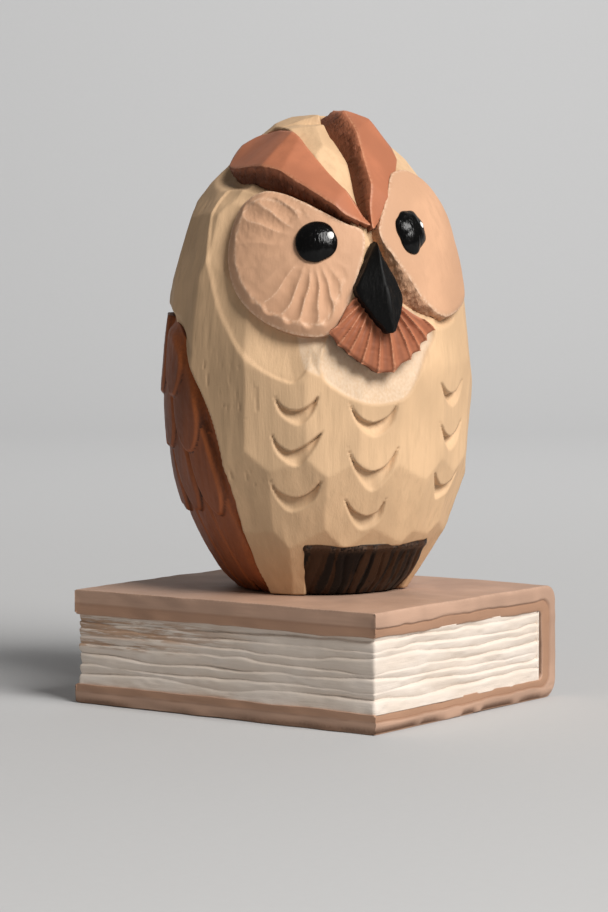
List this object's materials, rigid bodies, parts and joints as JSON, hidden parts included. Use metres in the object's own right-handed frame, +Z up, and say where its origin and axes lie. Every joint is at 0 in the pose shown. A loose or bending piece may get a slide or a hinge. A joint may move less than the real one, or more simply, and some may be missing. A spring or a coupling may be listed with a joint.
{
  "type": "owl figurine",
  "caption": "Hand-carved painted wooden owl with face discs, brows, beak, bib, folded wings and feet, standing on a carved wooden book",
  "frame": {"origin": "centre of the book's underside, on the surface the figurine rests on", "axes": "+Z up; +X towards the book's spine, -X towards its fore edge; Y along the book. The owl looks 31 degrees to the -X side of -Y."},
  "size_m": [0.064, 0.072, 0.1167],
  "materials": {
    "cream_paint": "matt cream paint brushed over knife-cut wood",
    "peach_paint": "matt peach paint with gouge marks",
    "terracotta_paint": "matt terracotta paint",
    "black_paint": "matt black paint",
    "gloss_black": "glossy black lacquer",
    "wing_stain": "satin orange-brown stain, darker in the cuts",
    "foot_stain": "satin near-black brown stain",
    "bare_wood": "bare turned dowel",
    "cover_paint": "matt dusty rose-brown paint",
    "page_paint": "off-white paint over carved grooves"
  },
  "bodies": {
    "root": {"owl_body": "cream_paint", "left_face_disc": "peach_paint", "right_face_disc": "peach_paint", "left_brow": "terracotta_paint", "right_brow": "terracotta_paint", "chin_bib": "terracotta_paint", "beak": "black_paint", "left_eye": "gloss_black", "right_eye": "gloss_black", "left_wing": "wing_stain", "right_wing": "wing_stain", "tail": "wing_stain", "foot_block": "foot_stain", "front_dowel": "bare_wood", "rear_dowel": "bare_wood", "book_cover": "cover_paint", "page_block": "page_paint"}
  },
  "joints": []
}
